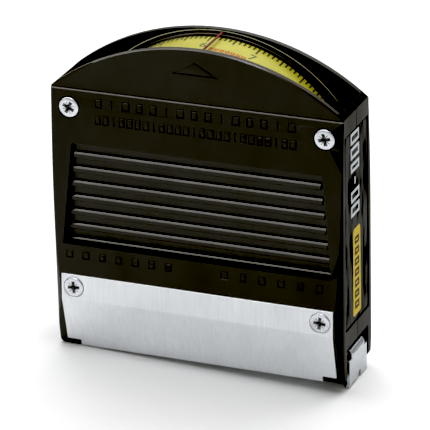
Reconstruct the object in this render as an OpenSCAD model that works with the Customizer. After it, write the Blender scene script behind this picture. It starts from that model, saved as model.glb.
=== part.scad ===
// Pocket spring tape with a curved reading window in its domed top.
// +X points along the tape as it leaves the mouth, -Y is the front face, +Z is up.
// The origin is on the underside of the base shoe, midway along the case,
// on the plane where the two shells meet.

/* [Case] */
// Width of the case, end face to end face
case_w = 59.6; // [59:0.1:62]
// Height of the shoulders, where the domed top starts
shoulder_z = 54.2; // [54:0.1:56]
// Rise of the dome above the shoulders
dome_rise = 10.5; // [10.4:0.1:12]
// Height of the bend where the faces are furthest apart
bend_z = 10.6; // [9:0.1:12]
// Thickness of the case under the base shoe
base_t = 14.7; // [14.4:0.1:16]
// Thickness of the case at the bend
bend_t = 19.2; // [18.6:0.1:21]
// Thickness of the case at the shoulders
top_t = 14.1; // [14:0.1:15]
// Radius of the four upright edges
upright_r = 2.2; // [1:0.1:2.6]

/* [Tape] */
// Width of the tape
tape_w = 9.4; // [9:0.1:9.6]
// Outer radius of the outermost turn, which shows in the window
turn_r = 28.1; // [27.6:0.1:28.1]
// Thickness that stands for one layer of coated tape
tape_t = 0.25; // [0.15:0.01:0.3]
// Outer radius of the wound pack of tape
pack_r = 16.2; // [14:0.1:18]
// Depth of the curved cross-section of the straight tape
cup_depth = 0.8; // [0.5:0.05:0.9]

/* [Window] */
// Radius of the upper face of the clear window
lens_r = 30.95; // [30.8:0.05:31]
// Thickness of the clear window
lens_t = 0.75; // [0.6:0.05:0.8]
// Distance of the red index line from the middle of the case
index_x = 1; // [-3:0.1:3]

/* [Grip] */
// Number of ribs on each grip panel
rib_count = 7; // [4:1:7]
// Height from one rib to the next
rib_pitch = 3; // [2.6:0.1:3]
// Height of one rib
rib_h = 1.2; // [0.8:0.1:1.4]

/* [Base shoe] */
// Thickness of the metal sheet
shoe_t = 0.6; // [0.5:0.05:0.7]
// Height of the upper edge of the shoe
shoe_top_z = 15.93; // [15.6:0.01:17]
// Length of the shoe
shoe_l = 56.3; // [54:0.1:56.4]

/* [Hook] */
// Thickness of the hook's steel strip
hook_t = 0.7; // [0.6:0.05:0.75]
// Width of the hook's face plate
hook_w = 9.8; // [8:0.1:10.4]
// Depth of the hook below the underside of the base
hook_drop = 2.05; // [1.4:0.05:2.4]
// Free play of the hook on its rivets
hook_play = 0.7; // [0.5:0.05:0.75]

/* [Hidden] */
$fn = 96;

half_w = case_w / 2;
dome_r = (half_w * half_w + dome_rise * dome_rise) / (2 * dome_rise);
dome_cz = shoulder_z + dome_rise - dome_r;
dome_setback = 0.3;
crease_z = shoulder_z - 0.3;
foot_r = 1;
above = 80;

// Reel axis and the round hollow that the tape turns in
axis_z = 35.15;
hollow_half = 5.2;
hollow_r = turn_r + 0.35;
tape_half = tape_w / 2;
axle_r = 3;
axle_fit = 0.05;
collar_r = 4.4;
collar_y = 4.1;

// Window and the trough above it
lens_cz = 33.35;
lens_end_x = 25;
lens_ledge_x = 23.8;
lens_floor_z = 50;
lens_half = 5.85;
trough_half = 5.5;
trough_end_x = 28.6;
trough_floor_z = 51.3;

// Channel and mouth for the straight tape
blade_z = 4.2;
channel_floor_z = 3.3;
channel_top_z = 8.5;
channel_start_x = -27.5;
mouth_half = 5.9;
mouth_top_z = 6.7;
mouth_depth = 3;
channel_end_x = half_w - mouth_depth + 0.3;
bumper_half = 3.8;
bumper_root = 1.4;
bumper_clear = 0.3;
bumper_low_z = 1;
bumper_top_z = 2.9;

// Grip panel: a trapezoid that widens downward
grip_top_z = 42.82;
grip_low_z = 22.33;
grip_top_half = 25.51;
grip_low_half = 27.59;
grip_floor_y = 6.4;
grip_plate_t = 0.35;
grip_gap = 0.1;
rib_proud = 0.8;
rib_end_gap = 0.22;
first_rib_z = grip_top_z - 1.7;

// Base shoe
shoe_proud = 0.12;
shoe_gap = 0.03;
foot_x = 25.3;
foot_h = 1.2;

// Screws: x, z of the upper pair and the lower pair
upper_screw_x = 26.06;
upper_screw_z = 50.16;
lower_screw_x = 25.53;
lower_screw_z = 13.34;
head_r = 2.03;
head_h = 0.9;
head_rim = 0.25;
head_proud = 0.15;
shank_r = 1;
screw_end_y = 4.5;

// Side label
label_half = 6.2;
label_low_z = 10.9;
label_top_z = 50.1;
label_t = 0.3;
label_recess = 0.45;
label_gap = 0.28;

// Reel
drum_r = 11;
drum_bore_y = 4;
web_t = 1.2;
chamber_r = 9.9;
spring_r0 = 3.6;
spring_r1 = 9.6;
spring_t = 0.2;
spring_turns = 7;
spring_half = 2.4;

// Hook and rivets
tab_low_z = 4.7;
tab_top_z = tab_low_z + hook_t;
tab_start_x = 21.5;
neck_half = 3.5;
neck_low_z = 3.7;
notch_y = 0.8;
notch_half = 0.65;
notch_top_z = -0.5;
hook_face_x = half_w + 0.1;
hook_bend_r = 0.9;
rivet_r = 0.8;
rivet_gap = 0.04;
rivet_x = [23.4, 26.8];
blade_start_x = -26;
blade_end_x = 28.9;
blade_clip = 1.7;

// Half thickness of the case at height z
function face_half(z) =
    z < bend_z
        ? (base_t + (bend_t - base_t) * z / bend_z) / 2
        : (bend_t + (top_t - bend_t) * (z - bend_z) / (crease_z - bend_z)) / 2;

module along_x(length) rotate([90, 0, 90]) linear_extrude(length, center = true) children();
module along_y(length) rotate([90, 0, 0]) linear_extrude(length, center = true) children();
module y_rod(r, length) rotate([90, 0, 0]) cylinder(r = r, h = length, center = true);
module on_axis() translate([0, 0, axis_z]) children();

// Block from x0 to x1 and z0 to z1, half_y to each side of the parting plane
module block(x0, x1, half_y, z0, z1) translate([x0, -half_y, z0]) cube([x1 - x0, 2 * half_y, z1 - z0]);

// Rectangle with rounded corners
module round_rect(w, h, r) {
    square([w - 2 * r, h], center = true);
    square([w, h - 2 * r], center = true);
    for (x = [-1, 1], y = [-1, 1])
        translate([x * (w / 2 - r), y * (h / 2 - r)]) circle(r);
}

// Flat band of a circle, for strips wound round the reel axis
module band(r_out, thickness) {
    difference() {
        circle(r_out);
        circle(r_out - thickness);
    }
}

// Front view of the case: straight ends under one shallow arc
module case_outline() {
    intersection() {
        translate([0, dome_cz]) circle(dome_r, $fn = 240);
        translate([0, above / 2]) round_rect(case_w, above, foot_r);
    }
}

// End view of one half: in at the base, out to the bend, in again to the top
module half_profile() {
    polygon([
        [0, 0],
        [-base_t / 2, 0],
        [-bend_t / 2, bend_z],
        [-top_t / 2, crease_z],
        [-top_t / 2 + dome_setback, crease_z],
        [-top_t / 2 + dome_setback, above],
        [0, above]
    ]);
}

module half_block() {
    intersection() {
        along_x(case_w) half_profile();
        along_y(2 * bend_t) case_outline();
        linear_extrude(above) round_rect(case_w, bend_t, upright_r);
    }
}

// Everything that is hollow alike in both shells
module hollows() {
    on_axis() y_rod(hollow_r, 2 * hollow_half);
    intersection() {
        translate([0, 0, lens_cz]) y_rod(lens_r - lens_t, 2 * hollow_half);
        block(-lens_ledge_x, lens_ledge_x, hollow_half, lens_floor_z, above);
    }
    block(-trough_end_x, trough_end_x, trough_half, trough_floor_z, above);
    lens_shape(0.05);
    bumper_shape(0.03);
    block(channel_start_x, channel_end_x, hollow_half, channel_floor_z, channel_top_z);
    block(half_w - mouth_depth, half_w + 1, mouth_half, -1, mouth_top_z);
    block(half_w - label_recess, half_w + 1, label_half + label_gap,
          label_low_z - label_gap, label_top_z + label_gap);
}

module grip_outline(inset) {
    polygon([
        [-grip_top_half + inset, grip_top_z - inset],
        [grip_top_half - inset, grip_top_z - inset],
        [grip_low_half - inset, grip_low_z + inset],
        [-grip_low_half + inset, grip_low_z + inset]
    ]);
}

// Half of the shoe's end view, grown outward or inward for the seat in the shell
module shoe_half(outer, inner, top) {
    polygon([
        [0, 0],
        [-(base_t / 2 + outer), 0],
        [-(bend_t / 2 + outer), bend_z],
        [-(face_half(top) + outer), top],
        [-(face_half(top) - inner), top],
        [-(bend_t / 2 - inner), bend_z],
        [-(face_half(shoe_t) - inner), inner + outer],
        [0, inner + outer]
    ]);
}

// Half shell on the -Y side, without screw seats
module half_shell() {
    difference() {
        half_block();
        hollows();
        translate([0, -grip_floor_y - bend_t, 0]) along_y(2 * bend_t) grip_outline(0);
        difference() {
            along_x(shoe_l + 2 * shoe_gap) shoe_half(1, shoe_t - shoe_proud + shoe_gap, shoe_top_z + shoe_gap);
            for (side = [-1, 1])
                translate([side * (foot_x + shoe_gap + 5), 0, foot_h / 2 - 0.5])
                    cube([10, 2 * bend_t, foot_h + 1 - 2 * shoe_gap], center = true);
        }
        translate([0, 0, shoe_t / 2 - 0.5])
            cube([2 * (foot_x + shoe_gap), 2 * bend_t, shoe_t + 1 + 2 * shoe_gap], center = true);
    }
    difference() {
        on_axis() translate([0, -(collar_y + hollow_half) / 2, 0]) y_rod(collar_r, hollow_half - collar_y);
        on_axis() y_rod(axle_r + 0.02, 4 * hollow_half);
    }
}

module at_screws(x, z) for (side = [-1, 1]) translate([side * x, 0, z]) children();

// Countersunk seat: a cone under the face, then a clear hole to the far end
module screw_seat(face_y, gap) {
    translate([0, -face_y, 0]) rotate([-90, 0, 0]) {
        translate([0, 0, -2]) cylinder(r = head_r + gap, h = 2 + head_rim);
        translate([0, 0, head_rim]) cylinder(r1 = head_r + gap, r2 = shank_r + gap, h = head_h);
        cylinder(r = shank_r + gap, h = face_y + screw_end_y + 0.5);
    }
}

module screw(face_y) {
    difference() {
        translate([0, -face_y, 0]) rotate([-90, 0, 0]) {
            translate([0, 0, -head_proud]) cylinder(r = head_r, h = head_proud + head_rim);
            translate([0, 0, head_rim]) cylinder(r1 = head_r, r2 = shank_r, h = head_h);
            cylinder(r = shank_r, h = face_y + screw_end_y);
        }
        for (turn = [0, 90])
            translate([0, -face_y, 0]) rotate([0, turn, 0]) cube([2.3, 1, 0.55], center = true);
    }
}

upper_face_y = face_half(upper_screw_z);
lower_face_y = face_half(lower_screw_z) + shoe_proud;

module front_shell() color("#1a1712") {
    difference() {
        half_shell();
        at_screws(upper_screw_x, upper_screw_z) screw_seat(upper_face_y, 0.06);
        at_screws(lower_screw_x, lower_screw_z) screw_seat(lower_face_y, 0.06);
    }
}

module rear_shell() color("#1c1914") {
    difference() {
        mirror([0, 1, 0]) half_shell();
        at_screws(upper_screw_x, upper_screw_z) screw_seat(upper_face_y, 0.03);
        at_screws(lower_screw_x, lower_screw_z) screw_seat(lower_face_y, 0.03);
    }
}

// Thin backing sheet with level ribs; the ribs grow longer down the trapezoid,
// and the last one is cut short where the panel ends
module grip_panel() {
    translate([0, -grip_floor_y - grip_plate_t / 2, 0]) along_y(grip_plate_t) grip_outline(grip_gap);
    slope = (grip_low_half - grip_top_half) / (grip_top_z - grip_low_z);
    for (i = [0 : rib_count - 1]) {
        top = first_rib_z - i * rib_pitch;
        low = max(top - rib_h, grip_low_z + rib_end_gap);
        half = grip_top_half + slope * (grip_top_z - top) - 0.4;
        rib_y = grip_floor_y + grip_plate_t + rib_proud / 2;
        translate([0, -rib_y, (top + low) / 2]) cube([2 * half, rib_proud, top - low], center = true);
    }
}

module front_grip() color("#211d17") grip_panel();
module rear_grip() color("#211d17") mirror([0, 1, 0]) grip_panel();

// Sheet metal shoe folded round the foot of the case, notched for the four feet
module base_shoe() color("#d5d9db") {
    difference() {
        union() {
            along_x(shoe_l) shoe_half(shoe_proud, shoe_t - shoe_proud, shoe_top_z);
            mirror([0, 1, 0]) along_x(shoe_l) shoe_half(shoe_proud, shoe_t - shoe_proud, shoe_top_z);
        }
        for (side = [-1, 1])
            translate([side * (foot_x + 5), 0, foot_h / 2 - 0.5])
                cube([10, 2 * bend_t, foot_h + 1], center = true);
        at_screws(lower_screw_x, lower_screw_z) screw_seat(lower_face_y, 0.06);
    }
}

module lens_shape(gap) {
    intersection() {
        translate([0, 0, lens_cz]) along_y(2 * (lens_half + gap)) band(lens_r + gap, lens_t + 2 * gap);
        block(-lens_end_x - gap, lens_end_x + gap, lens_half + gap, lens_floor_z, above);
    }
}

module window_lens() color("#e8f0f080") {
    difference() {
        lens_shape(0);
        block(index_x - 0.25, index_x + 0.25, trough_half, lens_cz + lens_r - 0.3, above);
    }
}

// Thin inlaid strip across the window
module index_line() color("#a01a20") {
    block(index_x - 0.2, index_x + 0.2, trough_half - 0.1, lens_cz + lens_r - 0.28, lens_cz + lens_r - 0.04);
}

module side_label() color("#141414") {
    translate([half_w - label_recess + label_t / 2, 0, (label_low_z + label_top_z) / 2])
        cube([label_t, 2 * label_half, label_top_z - label_low_z], center = true);
}

module upper_screws() color("#c3c7ca") at_screws(upper_screw_x, upper_screw_z) screw(upper_face_y);
module lower_screws() color("#c3c7ca") at_screws(lower_screw_x, lower_screw_z) screw(lower_face_y);

// Fixed post that the reel turns on, slit for the inner end of the spring
module spindle() color("#b9bcbd") {
    on_axis() difference() {
        y_rod(axle_r, 2 * hollow_half);
        cube([2 * axle_r + 1, 2 * spring_half, 0.5], center = true);
    }
}

module liner() {
    on_axis() difference() {
        translate([0, -5.05, 0]) y_rod(hollow_r - 0.4, 0.2);
        y_rod(collar_r + 0.15, 4 * hollow_half);
        translate([0, 0, -turn_r]) cube([70, 4 * hollow_half, 4], center = true);
    }
}

module front_liner() color("#8f8f8c") liner();
module rear_liner() color("#8f8f8c") mirror([0, 1, 0]) liner();

// Rubber pad below the channel that takes the knock of the hook's face plate
module bumper_shape(gap) {
    block(half_w - mouth_depth - bumper_root - gap, hook_face_x - hook_t - bumper_clear, bumper_half + gap,
          bumper_low_z - gap, bumper_top_z + gap);
}

module mouth_bumper() color("#202020") bumper_shape(0);

// Plastic reel: a rim round the spring chamber, closed at the back by a web
module reel_drum() color("#3a3a38") {
    on_axis() difference() {
        y_rod(drum_r, tape_w);
        translate([0, drum_bore_y - web_t - 10, 0]) y_rod(chamber_r, 20);
        translate([0, drum_bore_y + 5, 0]) y_rod(chamber_r, 10);
        y_rod(axle_r + axle_fit, 2 * tape_w);
    }
}

module drum_cover() color("#4a4a47") {
    on_axis() difference() {
        translate([0, -drum_bore_y + 0.4, 0]) y_rod(chamber_r - 0.05, 0.8);
        y_rod(axle_r + axle_fit, 2 * tape_w);
    }
}

// Point on the spring, which opens out evenly from the post to the rim
function spiral(turn, grow) =
    let (r = spring_r0 + (spring_r1 - spring_t - spring_r0) * turn / spring_turns + grow, a = 360 * turn)
    [r * cos(a), r * sin(a)];

module mainspring() color("#6d7480") {
    steps = 30;
    on_axis() along_y(2 * spring_half)
        polygon(concat(
            [for (i = [0 : spring_turns * steps]) spiral(i / steps, 0)],
            [for (i = [spring_turns * steps : -1 : 0]) spiral(i / steps, spring_t)]
        ));
}

module wound_tape() color("#c9b23c") {
    on_axis() difference() {
        y_rod(pack_r, tape_w);
        y_rod(drum_r + 0.05, 2 * tape_w);
    }
}

// Outermost turn under the window, and the two half turns that lead to it from the pack
module window_turn() color("#d8bf45") {
    inner = pack_r + tape_t;
    outer = turn_r - tape_t / 2;
    middle = (inner + outer) / 2;
    on_axis() along_y(tape_w) {
        band(turn_r, tape_t);
        intersection() {
            translate([(inner - middle) / 2, 0]) band((inner + middle) / 2 + tape_t / 2, tape_t);
            translate([-50, 0]) square([100, 50]);
        }
        intersection() {
            translate([(outer - middle) / 2, 0]) band((outer + middle) / 2 + tape_t / 2, tape_t);
            translate([-50, -50]) square([100, 50]);
        }
    }
}

cup_r = (tape_half * tape_half + cup_depth * cup_depth) / (2 * cup_depth);

// Straight tape, curved across its width, between the reel and the hook,
// with its two corners clipped at the hook's end
module tape_blade() color("#d8bf45") {
    difference() {
        intersection() {
            translate([(blade_start_x + blade_end_x) / 2, 0, blade_z + cup_r])
                along_x(blade_end_x - blade_start_x) band(cup_r + tape_t, tape_t);
            block(blade_start_x, blade_end_x, tape_half, blade_z - 1, blade_z + 2);
        }
        for (x = rivet_x) translate([x, 0, 0]) cylinder(r = rivet_r + rivet_gap, h = 10);
        for (side = [-1, 1])
            translate([blade_end_x, side * tape_half, blade_z]) rotate([0, 0, 45])
                cube([blade_clip * sqrt(2), blade_clip * sqrt(2), 4], center = true);
    }
}

module hook_rivets() color("#b08d3e") {
    for (x = rivet_x) translate([x, 0, 0]) {
        translate([0, 0, blade_z - tape_t - 0.35]) cylinder(r = 1.3, h = 0.3);
        translate([0, 0, blade_z - tape_t - 0.1]) cylinder(r = rivet_r, h = tab_top_z - blade_z + tape_t + 0.3);
        translate([0, 0, tab_top_z + 0.05]) cylinder(r = 1.45, h = 0.35);
    }
}

// Side view of the hook: tab on the tape, bend, and face plate down to a depth
module hook_profile(plate_low_z) {
    r = hook_bend_r;
    c = hook_face_x - r;
    translate([tab_start_x, tab_low_z]) square([c - tab_start_x, hook_t]);
    translate([c, tab_top_z - r]) intersection() {
        band(r, hook_t);
        square(2);
    }
    translate([hook_face_x - hook_t, plate_low_z]) square([hook_t, tab_top_z - r - plate_low_z]);
}

// Side view of the lip that the front half of the plate turns back under the case
module lip_profile() {
    translate([hook_face_x - hook_bend_r, hook_bend_r - hook_drop]) intersection() {
        band(hook_bend_r, hook_t);
        translate([0, -2]) square(2);
    }
}

// End view of the hook: a neck, and wider shoulders below it
module hook_outline() {
    translate([-neck_half, 0]) square([2 * neck_half, 10]);
    translate([-hook_w / 2, -5]) square([hook_w, 5 + neck_low_z]);
}

// Everything on one side of the notch: -1 is the front side, 1 the rear side
module beside_notch(side)
    translate([-2 * half_w, side > 0 ? notch_y : notch_y - hook_w, -5]) cube([4 * half_w, hook_w, 20]);

// Notch with a round top between the two halves of the plate
module hook_notch() {
    translate([half_w, notch_y, 0]) along_x(3 * mouth_depth) {
        translate([-notch_half, -5]) square([2 * notch_half, 5 + notch_top_z - notch_half]);
        translate([0, notch_top_z - notch_half]) circle(notch_half);
    }
}

module end_hook() color("#aeb6b9") {
    difference() {
        intersection() {
            union() {
                intersection() {
                    along_y(2 * hook_w) {
                        hook_profile(hook_bend_r - hook_drop);
                        lip_profile();
                    }
                    beside_notch(-1);
                }
                intersection() {
                    along_y(2 * hook_w) hook_profile(-hook_drop);
                    beside_notch(1);
                }
            }
            translate([half_w, 0, 0]) along_x(3 * mouth_depth + 16) hook_outline();
        }
        hook_notch();
        for (x = rivet_x) translate([x, 0, 0]) {
            cylinder(r = rivet_r + rivet_gap, h = 10);
            translate([-hook_play, 0, 0]) cylinder(r = rivet_r + rivet_gap, h = 10);
            translate([-hook_play, -rivet_r - rivet_gap, 0]) cube([hook_play, 2 * (rivet_r + rivet_gap), 10]);
        }
    }
}

front_shell();
rear_shell();
front_grip();
rear_grip();
base_shoe();
window_lens();
index_line();
side_label();
upper_screws();
lower_screws();
spindle();
front_liner();
rear_liner();
mouth_bumper();
reel_drum();
drum_cover();
mainspring();
wound_tape();
window_turn();
tape_blade();
hook_rivets();
end_hook();
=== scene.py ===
"""Looks for a pocket spring tape with a reading window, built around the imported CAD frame.

All positions are metres in the frame of the part: +X along the tape as it leaves the mouth,
-Y is the front face, +Z is up. Sizes written in millimetres are turned into metres with MM.
"""

import math

import bmesh
import bpy
from mathutils import Matrix, Vector


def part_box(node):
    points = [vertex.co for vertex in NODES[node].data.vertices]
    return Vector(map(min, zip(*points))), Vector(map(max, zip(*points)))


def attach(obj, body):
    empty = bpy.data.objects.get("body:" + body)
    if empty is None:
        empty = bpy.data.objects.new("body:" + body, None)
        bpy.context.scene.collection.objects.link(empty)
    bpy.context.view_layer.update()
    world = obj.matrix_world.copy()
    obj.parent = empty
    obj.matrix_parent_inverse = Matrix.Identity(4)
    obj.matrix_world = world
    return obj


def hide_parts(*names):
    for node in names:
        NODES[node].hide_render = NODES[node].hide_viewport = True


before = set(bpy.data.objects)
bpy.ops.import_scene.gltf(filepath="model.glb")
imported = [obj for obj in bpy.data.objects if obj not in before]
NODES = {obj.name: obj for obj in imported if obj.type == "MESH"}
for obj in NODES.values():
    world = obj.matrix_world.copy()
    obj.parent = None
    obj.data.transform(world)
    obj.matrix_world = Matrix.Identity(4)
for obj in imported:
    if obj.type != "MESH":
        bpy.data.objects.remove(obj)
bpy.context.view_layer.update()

MM = 0.001
SCENE = bpy.context.scene

# Reel axis and outermost turn of the tape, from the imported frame
turn_low, turn_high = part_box("window_turn")
TURN_RADIUS = (turn_high.z - turn_low.z) / 2 / MM
AXIS_Z = (turn_high.z + turn_low.z) / 2 / MM
TAPE_HALF = turn_high.y / MM

# Tape, hook and window sizes, in millimetres, that the CAD nodes' boxes don't give directly
TAPE_THICKNESS = 0.25
BLADE_CUP = 0.8
HOOK_FACE_X = 29.9
LENS_RADIUS = 30.95

# Reading, in millimetres, at the top of the window with the tape wound in
READING_AT_TOP = 60.9

# Edges under this angle, in degrees, are shaded smooth, if a piece has no angle of its own
SMOOTH_ANGLE = 42

# Edges over this angle, in degrees, are sharp enough to be rounded
SHARP_ANGLE = 28

# Corners of a rectangle, in order, as shares of its half width and half height
CORNERS = ((-1, -1), (1, -1), (1, 1), (-1, 1))


# ---------------------------------------------------------------- mesh helpers

def add_object(name, data):
    """Object for a mesh, a text, a light or a camera, linked into the scene."""
    obj = bpy.data.objects.new(name, data)
    SCENE.collection.objects.link(obj)
    return obj


def mesh_object(name, bm):
    """Object made from a bmesh, which is used up."""
    mesh = bpy.data.meshes.new(name)
    bm.to_mesh(mesh)
    bm.free()
    return add_object(name, mesh)


def solid_object(name, bm):
    """Object made from a bmesh of closed solids, whose faces are turned outward."""
    bmesh.ops.recalc_face_normals(bm, faces=bm.faces)
    return mesh_object(name, bm)


def evaluated_mesh(obj):
    """New mesh of an object's evaluated shape."""
    bpy.context.view_layer.update()
    graph = bpy.context.evaluated_depsgraph_get()
    return bpy.data.meshes.new_from_object(obj.evaluated_get(graph))


def shade(obj, angle=SMOOTH_ANGLE):
    """Smooth shading that keeps flat faces flat and edges over the angle hard."""
    mesh = obj.data
    for polygon in mesh.polygons:
        polygon.use_smooth = True
    mesh.set_sharp_from_angle(angle=math.radians(angle))
    weighted = obj.modifiers.new("weighted", "WEIGHTED_NORMAL")
    weighted.keep_sharp = True
    return obj


def place(obj, body, materials, replaces=()):
    """Gives a piece its materials and its body, and hides the CAD nodes it stands for."""
    for mat in materials:
        obj.data.materials.append(mat)
    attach(obj, body)
    if replaces:
        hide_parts(*replaces)
    return obj


def bevel_edges(bm, edges, width, segments=2):
    """Rounds the given edges by a width in millimetres."""
    bmesh.ops.bevel(
        bm, geom=edges, offset=width * MM, offset_type="OFFSET", segments=segments,
        profile=0.5, affect="EDGES", clamp_overlap=False, miter_outer="ARC",
    )


def clean_copy(node):
    """bmesh of a CAD node's shape, welded, with flat faces made whole again."""
    weld_distance = 0.002 * MM
    flat_angle = math.radians(0.5)
    bm = bmesh.new()
    bm.from_mesh(NODES[node].data)
    bmesh.ops.remove_doubles(bm, verts=bm.verts, dist=weld_distance)
    bmesh.ops.dissolve_limit(bm, angle_limit=flat_angle, verts=bm.verts, edges=bm.edges)
    bm.normal_update()
    return bm


def sharp_edges(bm, angle=SHARP_ANGLE, keep=None):
    """Edges whose two faces meet at more than the angle in degrees, and that keep() accepts."""
    limit = math.radians(angle)
    found = []
    for edge in bm.edges:
        if not edge.is_manifold:
            continue
        if edge.calc_face_angle(0) < limit:
            continue
        middle = (edge.verts[0].co + edge.verts[1].co) / (2 * MM)
        if keep is None or keep(middle):
            found.append(edge)
    return found


def softened(node, name, width, keep=None, chamfers=()):
    """Copy of a CAD node with its sharp edges rounded, kept inside the node's own box.

    chamfers are pairs of a width and a test: the edges that pass it get a flat chamfer first.
    Faces with many sides are split before the rounding, because it would tear them.
    """
    bm = clean_copy(node)
    for chamfer, chosen in chamfers:
        bevel_edges(bm, sharp_edges(bm, keep=chosen), chamfer, segments=1)
    many_sided = [face for face in bm.faces if len(face.verts) > 4]
    bmesh.ops.triangulate(bm, faces=many_sided, quad_method="BEAUTY", ngon_method="BEAUTY")
    bevel_edges(bm, sharp_edges(bm, keep=keep), width)
    low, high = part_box(node)
    for vert in bm.verts:
        vert.co = Vector(min(max(c, a), b) for c, a, b in zip(vert.co, low, high))
    return mesh_object(name, bm)


def paint_faces(obj, material_index, chosen):
    """Gives one of an object's materials to the faces whose centre, in millimetres, is chosen."""
    for polygon in obj.data.polygons:
        if chosen(polygon.center / MM):
            polygon.material_index = material_index


def close_prism(bm, bottom, top):
    """Faces of a prism between two outlines that have the same number of vertices."""
    count = len(bottom)
    bm.faces.new(list(reversed(bottom)))
    bm.faces.new(top)
    for i in range(count):
        j = (i + 1) % count
        bm.faces.new((bottom[i], bottom[j], top[j], top[i]))


def close_tube(bm, low_out, low_in, high_out, high_in):
    """Faces of a hollow block between an outer and an inner outline, each at two depths."""
    count = len(low_out)
    for i in range(count):
        j = (i + 1) % count
        bm.faces.new((low_out[j], low_out[i], low_in[i], low_in[j]))
        bm.faces.new((high_out[i], high_out[j], high_in[j], high_in[i]))
        bm.faces.new((low_out[i], low_out[j], high_out[j], high_out[i]))
        bm.faces.new((low_in[j], low_in[i], high_in[i], high_in[j]))


def add_prism(bm, outline, place_point, low, high):
    """Closed prism: a 2-D outline, in millimetres, put in space twice by place_point(u, v, depth)."""
    bottom = [bm.verts.new(place_point(u, v, low) * MM) for u, v in outline]
    top = [bm.verts.new(place_point(u, v, high) * MM) for u, v in outline]
    close_prism(bm, bottom, top)


def rectangle(bm, u, v, half_width, half_height, place_point, depth):
    """New vertices at the four corners of a rectangle at a depth."""
    return [
        bm.verts.new(place_point(u + a * half_width, v + b * half_height, depth) * MM)
        for a, b in CORNERS
    ]


def add_frame(bm, u, v, width, height, stroke, place_point, low, high, taper=0.0):
    """Hollow block: a rectangle with a rectangular hole, as one closed ring.

    A taper makes the stroke wider by that much on either side at the low end.
    """
    rings = []
    for depth, grow in ((low, taper), (high, 0.0)):
        for inset in (-grow, stroke + grow):
            half_width = width / 2 - inset
            half_height = height / 2 - inset
            rings.append(rectangle(bm, u, v, half_width, half_height, place_point, depth))
    close_tube(bm, *rings)


def add_bar(bm, u, v, width, height, place_point, low, high, taper=0.0):
    """Plain closed bar, wider by a taper on every side at the low end."""
    lower = rectangle(bm, u, v, width / 2 + taper, height / 2 + taper, place_point, low)
    upper = rectangle(bm, u, v, width / 2, height / 2, place_point, high)
    close_prism(bm, lower, upper)


def revolve(profile, steps, place_point):
    """bmesh of a solid of revolution, from (radius, depth) pairs that start and end on the axis."""
    bm = bmesh.new()
    start = bm.verts.new(place_point(0, 0, profile[0][1]) * MM)
    end = bm.verts.new(place_point(0, 0, profile[-1][1]) * MM)
    rings = []
    for radius, depth in profile[1:-1]:
        rings.append([
            bm.verts.new(place_point(
                radius * math.cos(2 * math.pi * i / steps),
                radius * math.sin(2 * math.pi * i / steps), depth) * MM)
            for i in range(steps)
        ])
    for i in range(steps):
        j = (i + 1) % steps
        bm.faces.new((start, rings[0][i], rings[0][j]))
        bm.faces.new((end, rings[-1][j], rings[-1][i]))
        for a, b in zip(rings, rings[1:]):
            bm.faces.new((a[i], b[i], b[j], a[j]))
    return bm


def cut(obj, cutter, overlapping=False):
    """Subtracts one object from another and removes the cutter."""
    modifier = obj.modifiers.new("cut", "BOOLEAN")
    modifier.operation = "DIFFERENCE"
    modifier.solver = "EXACT"
    modifier.use_self = overlapping
    modifier.object = cutter
    mesh = evaluated_mesh(obj)
    obj.modifiers.clear()
    old = obj.data
    obj.data = mesh
    bpy.data.meshes.remove(old)
    bpy.data.objects.remove(cutter)


# ------------------------------------------------------------ material helpers

class Nodes:
    """A material's node tree and the noise that can drive its sockets."""

    def __init__(self, name):
        self.material = bpy.data.materials.new(name)
        self.material.use_nodes = True
        self.tree = self.material.node_tree

    def node(self, kind):
        return self.tree.nodes.new(kind)

    def link(self, output, socket):
        self.tree.links.new(output, socket)

    def noise(self, scale, detail=3.0, stretch=(1.0, 1.0, 1.0), offset=0.0):
        """Noise in object space. Scale is in cycles per metre."""
        coordinates = self.node("ShaderNodeTexCoord")
        mapping = self.node("ShaderNodeMapping")
        mapping.inputs["Scale"].default_value = stretch
        mapping.inputs["Location"].default_value = (offset, offset, offset)
        texture = self.node("ShaderNodeTexNoise")
        texture.inputs["Scale"].default_value = scale
        texture.inputs["Detail"].default_value = detail
        self.link(coordinates.outputs["Object"], mapping.inputs["Vector"])
        self.link(mapping.outputs["Vector"], texture.inputs["Vector"])
        return texture.outputs["Fac"]

    def spread(self, fac, low, high, source=(0.3, 0.7)):
        """Value turned into a range."""
        ranger = self.node("ShaderNodeMapRange")
        ranger.inputs["From Min"].default_value = source[0]
        ranger.inputs["From Max"].default_value = source[1]
        ranger.inputs["To Min"].default_value = low
        ranger.inputs["To Max"].default_value = high
        self.link(fac, ranger.inputs["Value"])
        return ranger.outputs["Result"]

    def relief(self, fac, distance, strength):
        """Normal of a bumpy surface. The distance is in metres."""
        bump = self.node("ShaderNodeBump")
        bump.inputs["Strength"].default_value = strength
        bump.inputs["Distance"].default_value = distance
        self.link(fac, bump.inputs["Height"])
        return bump.outputs["Normal"]


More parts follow.
